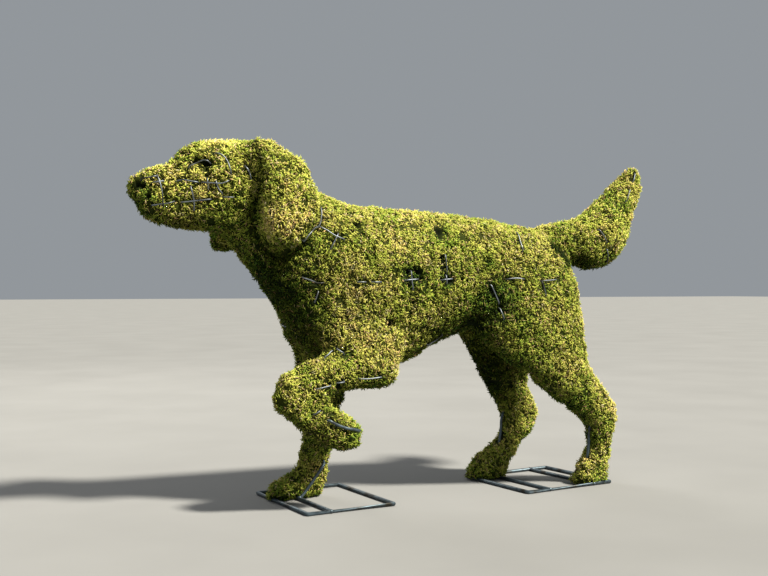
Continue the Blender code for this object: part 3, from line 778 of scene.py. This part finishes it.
def moss_look(points, normals, skin):
    """Place along the palette and brightness of the moss at each point, the brightness with painted
    light and shade in it.
    """
    tint = layered(points, TINT_NOISE, TINT)
    bright = layered(points, BRIGHTNESS_NOISE, BRIGHTNESS)
    # a patch's brightness is mostly painted light where it is raised and painted shade where it is
    # lowered
    for middle, wide, shift, painted_light_gain in PATCHES_AND_PAINTED_LIGHT:
        share = patch_share(points, middle, wide)
        tint += shift * share
        bright += painted_light_gain * share
    # painted shade: moss that faces forward or down is made darker and greener
    for way, darker, greener in PAINTED_SHADE_SIDES:
        facing = np.clip(normals @ way, 0, 1)
        bright *= 1 - darker * facing
        tint -= greener * facing
    # painted shade along each crease
    for route, wide, _, crease_painted_shade in CREASES:
        bright *= 1 - crease_painted_shade * crease_share(points, skin, route, wide)
    # painted shade in the gaps
    return tint, bright - GAP_PAINTED_SHADE * gap_share(points, skin)


def remeshed(node):
    """An even, smoothed copy of a solid's mesh."""
    source = bpy.data.objects.new("moss_source", node.data.copy())
    bpy.context.scene.collection.objects.link(source)
    remesh = source.modifiers.new("Remesh", "REMESH")
    remesh.mode = "VOXEL"
    remesh.voxel_size = BED_VOXEL
    smooth = source.modifiers.new("Smooth", "SMOOTH")
    smooth.iterations = BED_SMOOTHING
    bpy.context.view_layer.update()
    mesh = bpy.data.meshes.new_from_object(
        source.evaluated_get(bpy.context.evaluated_depsgraph_get())
    )
    bpy.data.objects.remove(source, do_unlink=True)
    return mesh


def moss_bed(node, skin, wires, material):
    """The lumpy mat that the strands grow from."""
    mesh = remeshed(node)
    points = numbers(mesh.vertices, "co", 3).astype(float)
    normals = numbers(mesh.vertex_normals, "vector", 3)
    tint, bright = moss_look(points, normals, skin)
    groove_width, groove_depth = WIRE_GROOVE
    groove = np.exp(-((distances(wires, points) / groove_width) ** 2))

    bumps = layered(points, BED_LUMPS)
    lift = bumps - BED_DEPTH - GAP_DEPTH * gap_share(points, skin)
    for route, wide, depth, _ in CREASES:
        lift -= depth * crease_share(points, skin, route, wide)
    for middle, wide, rise in SWELLS:
        lift += rise * patch_share(points, middle, wide)
    lift -= groove_depth * groove
    points += normals * lift[:, None]
    points[:, 2] = np.maximum(points[:, 2], FLOOR_GAP)
    mesh.vertices.foreach_set("co", points.astype(np.float32).ravel())
    shade_smooth(mesh)

    # painted shade between the lumps, in the gaps and as the wires' shadow beside them
    shade = np.clip(bright * (BED_SHADE + BED_LUMP_PAINTED_SHADE * bumps), *BED_SHADES)
    shade *= 1 - BED_HOLE_PAINTED_SHADE * np.maximum(gap_share(points, skin), groove)
    look = np.stack([np.clip(tint, *BED_TINTS), np.maximum(shade, BED_DARKEST)], 1)
    corner = numbers(mesh.loops, "vertex_index", 1, np.int32)[:, 0]
    add_map(mesh, look[corner])
    return add_piece("moss_bed", mesh, material, "moss", "moss_dog")


def scattered(mesh, count, rng):
    """Random points spread evenly over the mesh, with its smooth normals there."""
    mesh.calc_loop_triangles()
    corners = numbers(mesh.loop_triangles, "vertices", 3, np.int32)
    points, normals = numbers(mesh.vertices, "co", 3), numbers(mesh.vertex_normals, "vector", 3)
    a, b, c = (points[corners[:, k]] for k in range(3))
    area = np.linalg.norm(np.cross(b - a, c - a), axis=1)
    chosen = rng.choice(len(corners), count, p=area / area.sum())
    share = rng.dirichlet((1, 1, 1), count)
    spots = sum(share[:, k, None] * points[corners[chosen, k]] for k in range(3))
    facing = sum(share[:, k, None] * normals[corners[chosen, k]] for k in range(3))
    return spots, unit(facing)


class Tufts(NamedTuple):
    """Arrays with a row for each tuft, or for each strand once they are repeated."""

    roots: np.ndarray
    normals: np.ndarray
    flow: np.ndarray  # the way that it lies
    shorter: np.ndarray
    near: np.ndarray  # distance to the nearest bare wire
    tint: np.ndarray
    bright: np.ndarray


def grown_tufts(bed, skin, wires, rng):
    """Where tufts grow on the mat, and how."""
    roots, normals = scattered(bed.data, TUFTS, rng)
    kept = rng.random(TUFTS) > GAP_THINNING * gap_share(roots, skin)
    near = distances(wires, roots)
    kept &= near > TUFT_CLEAR
    pit = layered(roots, PITS)
    kept &= pit < PIT_RIM
    roots, normals, near, pit = roots[kept], normals[kept], near[kept], pit[kept]
    tint, bright = moss_look(roots, normals, skin)
    tint += rng.normal(0, TUFT_TINT_SPREAD, len(roots))

    flow = np.stack([noise_at(roots, FLOW_SIZE, offset) for offset in FLOW_OFFSETS], 1)
    flow += np.array(FLOW_DROOP) + rng.normal(0, FLOW_STRAY, roots.shape)
    flow = unit(flow - (flow * normals).sum(1, keepdims=True) * normals)
    shorter = np.clip((near - WIRE_SHORT_FROM) / WIRE_SHORT_OVER, WIRE_SHORTEST, 1.0)
    shorter *= 1 - GAP_SHORTENING * gap_share(roots, skin, GAP_SURROUND)
    depth = pit - PIT_RIM + PIT_SHOULDER
    shorter *= np.clip(1 - PIT_SHORTENING * depth, PIT_SHORTEST, PIT_LONGEST)
    return Tufts(roots, normals, flow, shorter, near, tint, bright)


def strand_shapes(tufts, rng):
    """Each strand's root, waist and tip, half its width as a vector, and whether it is a straw."""
    normals, count = tufts.normals, len(tufts.roots)
    turn = np.radians(rng.normal(0, FAN, count))[:, None]
    outward = tufts.flow * np.cos(turn) + np.cross(normals, tufts.flow) * np.sin(turn)
    straw = rng.random(count) < STRAWS
    lean = np.radians(np.where(straw, rng.uniform(*STRAW_LEAN, count), rng.uniform(*LEAN, count)))
    length = np.where(straw, STRAW_LENGTH, rng.uniform(*STRAND_LENGTH, count)) * tufts.shorter
    width = np.where(straw, STRAW_WIDTH, rng.uniform(*STRAND_WIDTH, count))
    width *= np.sqrt(tufts.shorter)

    def half_way(angle):
        heading = normals * np.cos(angle)[:, None] + outward * np.sin(angle)[:, None]
        return heading * (length / 2)[:, None]

    aside = np.cross(normals, outward) * rng.normal(0, ROOT_SPREAD, (count, 1))
    root = tufts.roots + (aside - outward * rng.random((count, 1))) * TUFT_WIDTH
    root -= normals * ROOT_DEPTH
    waist = root + half_way(WAIST_LEAN * lean)
    tip = waist + half_way(np.minimum(TIP_LEAN * lean + TIP_BEND, MOST_LEAN))
    side = unit(np.cross(tip - root, normals + BLADE_TWIST * rng.normal(0, 1, outward.shape)))
    inside_out = (np.cross(side, tip - root) * (waist - root)).sum(1) > 0
    half = np.where(inside_out, -width / 2, width / 2)[:, None]
    return root, waist, tip, side * half, straw


def covers_hole(tufts, waist, tip, skin, wires, rng):
    """Which strands would lie across a bare wire or a gap."""
    near = tufts.near.copy()
    chosen = np.flatnonzero(near < STRAW_LENGTH + WIRE_CLEAR)
    for ends in (waist, tip):
        near[chosen] = np.minimum(near[chosen], distances(wires, ends[chosen]))
    covers = (near < WIRE_CLEAR) & (rng.random(len(near)) > WIRE_COVER)
    return covers | (gap_share(tip, skin) > GAP_COVER)


def strand_maps(tufts, straw, rng):
    """Place on the map of each strand's corners (n, 4, 2)."""
    count = len(straw)
    shift = rng.normal(0, STRAND_TINT_SPREAD, count)
    shift += DRY_SHIFT * (rng.random(count) < DRY_STRANDS)
    tint = tufts.tint + shift
    tint = np.where(straw, STRAW_TINT + STRAW_TINT_SHARE * tint, tint)
    tint = np.clip(tint, *STRAND_TINTS)
    bright = tufts.bright + rng.normal(0, STRAND_BRIGHTNESS_SPREAD, count)
    bright = np.clip(bright, *STRAND_BRIGHTNESS)
    return np.stack([tint[:, None] + CORNER_TINTS, bright[:, None] * CORNER_BRIGHTNESS], 2)


def zone_of(roots):
    """Which piece each strand belongs to, so that no piece is too heavy."""
    back, up = roots[:, 0] + LENGTH / 2, roots[:, 2]
    conditions = (
        (back < HEAD_REAR) & (up > HEAD_FLOOR),
        (back < LEGS_PARTING) & (up < LEGS_TOP),
        (back >= LEGS_PARTING) & (up < LEGS_TOP),
        back < CHEST_REAR,
        back < BARREL_REAR,
    )
    names = ("moss_head", "moss_forelegs", "moss_hind_legs", "moss_neck_chest", "moss_barrel")
    return np.select(conditions, names, "moss_rump_tail")


def moss_strands(bed, skin, wires, material):
    """All the strands, in one piece for each zone of the dog."""
    rng = np.random.default_rng(SEED)
    tufts = grown_tufts(bed, skin, wires, rng)
    tufts = Tufts(*(np.repeat(rows, STRANDS_PER_TUFT, axis=0) for rows in tufts))
    root, waist, tip, half, straw = strand_shapes(tufts, rng)
    shown = ~covers_hole(tufts, waist, tip, skin, wires, rng)
    maps = strand_maps(tufts, straw, rng)[shown]
    corners = np.stack([root, waist + half, waist - half, tip], 1)[shown]
    corners[..., 2] = np.maximum(corners[..., 2], FLOOR_GAP)
    zones = zone_of(tufts.roots[shown])
    for name in np.unique(zones):
        points = corners[zones == name]
        first = points.shape[1] * np.arange(len(points))
        faces = (first[:, None, None] + STRAND_FACES).reshape(-1, 3)
        mesh = mesh_of(str(name), points.reshape(-1, 3), faces)
        add_map(mesh, maps[zones == name].reshape(-1, 2)[faces.ravel()])
        add_piece(str(name), mesh, material, "moss", "moss_dog")


class Tubes:
    """Rods and weld beads gathered into one mesh."""

    def __init__(self):
        self.points, self.faces, self.count = [], [], 0

    def add(self, points, faces):
        self.points.append(np.asarray(points, float))
        self.faces.append(np.asarray(faces) + self.count)
        self.count += len(points)

    def rod(self, path, radius, sides, closed=False):
        """A round rod along the path, mitred at its bends, with rounded ends if it is open."""
        path = [Vector(point) for point in path]
        ahead = [(after - point).normalized() for point, after in zip(path, path[1:] + path[:1])]
        if not closed:
            ahead[-1] = ahead[-2]
        behind = [ahead[-1] if closed else ahead[0], *ahead[:-1]]
        rings = self.cross_rings(path, behind, ahead, radius, sides)
        shift = self.seam_shift(rings) if closed else 0
        if not closed:
            before = self.end_cap(rings[0], path[0], -ahead[0] * radius)
            rings = before[::-1] + rings + self.end_cap(rings[-1], path[-1], ahead[-1] * radius)
        faces = []
        for k in range(len(rings) if closed else len(rings) - 1):
            one, two = k * sides, (k + 1) % len(rings) * sides
            slide = shift if k == len(rings) - 1 else 0
            for j in range(sides):
                a, b = j, (j + 1) % sides
                c, d = (b + slide) % sides, (a + slide) % sides
                faces.append((one + a, one + b, two + c, two + d))
        self.add([point for ring in rings for point in ring], faces)

    @staticmethod
    def cross_rings(path, behind, ahead, radius, sides):
        """Rings of corners across the path, carried along it without a twist."""
        side = ahead[0].orthogonal().normalized()
        rings = []
        for point, before, after in zip(path, behind, ahead):
            middle = (before + after).normalized()
            side = (side - side.dot(middle) * middle).normalized()
            other = middle.cross(side)
            stretch = 1 / max(middle.dot(after), SHARPEST_MITRE)
            bend = (after - before).normalized()
            ring = []
            for turn in turns(sides):
                out = side * cos(turn) + other * sin(turn)
                out += bend * out.dot(bend) * (stretch - 1)
                ring.append(point + out * radius)
            rings.append(ring)
        return rings

    @staticmethod
    def seam_shift(rings):
        """How many corners the last ring of a closed rod is turned against its first."""
        return min(range(len(rings[0])), key=lambda k: (rings[0][k] - rings[-1][0]).length)

    @staticmethod
    def end_cap(ring, middle, way):
        """Smaller and smaller rings that round off an end, where way is one radius outward."""
        return [
            [middle + way * push + (point - middle) * scale for point in ring]
            for push, scale in END_CAP
        ]

    def bead(self, middle, radius, seed):
        """A lumpy bead of weld."""
        points, faces = [], []
        for row in range(BEAD_ROWS):
            tilt = pi * (row + 0.5) / BEAD_ROWS
            for turn in turns(BEAD_SIDES):
                high = cos(tilt) * BEAD_FLATNESS
                out = Vector((sin(tilt) * cos(turn), sin(tilt) * sin(turn), high))
                lump = noise.noise(out * BEAD_LUMP_RATE + Vector((seed, 0, 0)))
                points.append(middle + out * radius * (1 + BEAD_LUMPS * lump))
        for row in range(BEAD_ROWS - 1):
            for j in range(BEAD_SIDES):
                a, b = row * BEAD_SIDES + j, row * BEAD_SIDES + (j + 1) % BEAD_SIDES
                faces.append((a, a + BEAD_SIDES, b + BEAD_SIDES, b))
        self.add(points, faces)

    def piece(self, name, material, node):
        """All that was gathered, as one piece."""
        mesh = mesh_of(name, np.concatenate(self.points), np.concatenate(self.faces))
        shade_smooth(mesh)
        return add_piece(name, mesh, material, "steel", node)


def shown_wire(skin, route):
    """A wire that comes up out of the moss, follows the route on it and dives back in."""
    line = smooth_path([seen_spot(skin, *spot) for spot in route], WIRE_STEP)
    before, after = (line[0] - line[1]).normalized(), (line[-1] - line[-2]).normalized()
    path = [on_skin(skin, line[0] + before * DIVE_RUN, WIRE_DIVE)]
    path += [on_skin(skin, point, WIRE_LIFT) for point in line]
    path.append(on_skin(skin, line[-1] + after * DIVE_RUN, WIRE_DIVE))
    return path


def buried_wire(skin, points, seed):
    """A cage wire that shows only in places, and never on the side that the shown wires give."""
    path = []
    for point in points:
        rise = noise.noise(point / RISE_SIZE + Vector((seed, 0, 0))) * RISE_STRENGTH - RISE_SINK
        share = min(max(rise, 0), 1) if point.y >= FAR_SIDE else 0
        path.append(on_skin(skin, point, WIRE_DIVE + (WIRE_LIFT - WIRE_DIVE) * share))
    return path


def hoop_points(skin, edge, opposite):
    """Points on the moss round the dog, in the plane through two opposite points of its outline."""
    top, bottom = place(*edge), place(*opposite)
    middle, up = (top + bottom) / 2, (top - bottom).normalized()
    points = []
    for angle in turns(round(pi * (top - bottom).length / WIRE_STEP)):
        direction = up * cos(angle) + Vector((0, sin(angle), 0))
        points.append(skin.ray_cast(middle, direction.normalized())[0])
    return points


def far_wire_points(skin, route):
    """Points on the moss along a route on the dog's far side."""
    points = smooth_path([place(*spot) for spot in route], WIRE_STEP)
    return [skin.ray_cast(point, Vector((0, 1, 0)))[0] for point in points]


def paw_rod(skin, material):
    """The thicker rod along the raised paw, and points along it."""
    tubes, path = Tubes(), shown_wire(skin, PAW_ROD)
    tubes.rod(path, LEG_ROD_RADIUS, WIRE_SIDES)
    tubes.piece("paw_rod", material, "body_cage")
    return path[1:-1]


def cage_wires(name, node, skin, material, shown, hoops, long_wires):
    """The cage's wires, and points along them where they show."""
    tubes, open_points = Tubes(), []
    for route in shown:
        path = shown_wire(skin, route)
        tubes.rod(path, WIRE_RADIUS, WIRE_SIDES)
        open_points += path[1:-1]
    for k, ends in enumerate(hoops):
        path = buried_wire(skin, hoop_points(skin, *ends), WIRE_SEED_STEP * k)
        tubes.rod(path, WIRE_RADIUS, WIRE_SIDES, closed=True)
        open_points += path
    for k, route in enumerate(long_wires):
        points = far_wire_points(skin, route)
        path = buried_wire(skin, points, LONG_WIRE_SEED + WIRE_SEED_STEP * k)
        tubes.rod(path, WIRE_RADIUS, WIRE_SIDES)
        open_points += path
    tubes.piece(name, material, node)
    return open_points


def base_rods(base, material):
    """The frame's rods with weld beads, and points along the rods that rise up the legs."""
    turn = Matrix.Rotation(radians(base.twist), 3, "Z")
    middle = place(base.middle[0], BAR_RADIUS, base.middle[1])

    def spot(back, side):
        return middle + turn @ Vector((back, side, 0))

    front, rear, wide = -base.length / 2, base.length / 2, base.width / 2
    corners = [spot(front, -wide), spot(front, wide), spot(rear, wide), spot(rear, -wide)]
    outline = []
    for k, corner in enumerate(corners):
        for other in (corners[k - 1], corners[(k + 1) % len(corners)]):
            outline.append(corner + (other - corner).normalized() * CORNER_CUT)
    tubes = Tubes()
    tubes.rod(outline, BAR_RADIUS, BAR_SIDES, closed=True)
    welds = []
    for behind in base.inner_bars:
        ends = [spot(front + behind, side) for side in (-wide, wide)]
        tubes.rod(ends, INNER_BAR_RADIUS, BAR_SIDES)
        welds += ends
    risers = []
    for route in base.leg_rods:
        path = smooth_path([place(*point) for point in route], WIRE_STEP)
        tubes.rod(path, LEG_ROD_RADIUS, LEG_ROD_SIDES)
        welds.append(path[0] + UP * FOOT_BEAD_LIFT)
        risers += path[2:]  # its foot stands clear of the moss
    for k, weld in enumerate(welds):
        tubes.bead(weld + UP * BEAD_LIFT, BEAD_RADIUS, BEAD_SEED_STEP * k)
    tubes.piece(base.name, material, base.node)
    return risers


def pale_floor():
    """A plain floor that reaches to the horizon."""
    material, tree, shader = new_material("pale_floor")
    tone = colour_ramp(tree, noise_value(tree, FLOOR_MOTTLE), FLOOR_TONES)
    tree.links.new(tone, shader.inputs["Base Color"])
    shader.inputs["Roughness"].default_value = FLOOR_ROUGHNESS
    signs = ((-1, -1), (1, -1), (1, 1), (-1, 1))
    corners = [(x * FLOOR_HALF, y * FLOOR_HALF, 0) for x, y in signs]
    floor = bpy.data.objects.new("floor", mesh_of("floor", corners, [(0, 1, 2, 3)]))
    floor.data.materials.append(material)
    bpy.context.scene.collection.objects.link(floor)


def lamp(name, kind, power, colour, direction):
    """A lamp whose light comes from the direction."""
    data = bpy.data.lights.new(name, kind)
    data.energy = power
    data.color = colour
    light = bpy.data.objects.new(name, data)
    light.rotation_euler = Vector(direction).to_track_quat("Z", "Y").to_euler()
    bpy.context.scene.collection.objects.link(light)
    return light


def studio():
    """A pale floor, a pale backdrop and soft light from high on the camera's right."""
    scene = bpy.context.scene
    world = bpy.data.worlds.new("studio")
    world.use_nodes = True
    backdrop = world.node_tree.nodes["Background"]
    backdrop.inputs["Color"].default_value = (*BACKDROP_COLOUR, 1.0)
    backdrop.inputs["Strength"].default_value = BACKDROP_STRENGTH
    scene.world = world
    scene.view_settings.view_transform = "Standard"
    pale_floor()
    key = lamp("key", "SUN", KEY_POWER, KEY_COLOUR, KEY_DIRECTION)
    key.data.angle = radians(KEY_ANGLE)
    back = lamp("back", "AREA", BACK_POWER, BACK_COLOUR, BACK_PLACE - BACK_TARGET)
    back.data.shape = "DISK"
    back.data.size = BACK_SIZE
    back.location = BACK_PLACE


def photo_camera():
    """The level camera at the photograph's place."""
    data = bpy.data.cameras.new("photo_camera")
    data.lens = CAMERA_LENS
    data.sensor_width = CAMERA_SENSOR
    camera = bpy.data.objects.new("photo_camera", data)
    camera.location = CAMERA_PLACE
    camera.rotation_euler = (radians(90), 0, radians(CAMERA_TURN))
    bpy.context.scene.collection.objects.link(camera)
    bpy.context.scene.camera = camera


def bare_steel(skin):
    """All the wires and rods, and a search tree of points along them where they are bare."""
    wire_steel = steel_material("wire", *WIRE_TONES)
    bar_steel = steel_material("bar", *BAR_TONES)
    bare = []
    for base in BASE_FRAMES:
        bare += base_rods(base, bar_steel)
    bare += paw_rod(skin, bar_steel)
    bare += cage_wires(
        "body_wires", "body_cage", skin, wire_steel, BODY_WIRES, BODY_HOOPS, (FLANK_WIRE,)
    )
    bare += cage_wires(
        "head_wires", "head_cage", skin, wire_steel, HEAD_WIRES, MUZZLE_HOOPS, MUZZLE_WIRES
    )
    bare = [point for point in bare if is_outside(skin, point)]
    tree = KDTree(len(bare))
    for k, point in enumerate(bare):
        tree.insert(point, k)
    tree.balance()
    return tree


def main():
    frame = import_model()
    photo_camera()
    studio()
    dog = frame["nodes"]["moss_dog"]
    skin = BVHTree.FromObject(dog, bpy.context.evaluated_depsgraph_get())
    moss = moss_material()
    wires = bare_steel(skin)
    bed = moss_bed(dog, skin, wires, moss)
    moss_strands(bed, skin, wires, moss)


main()
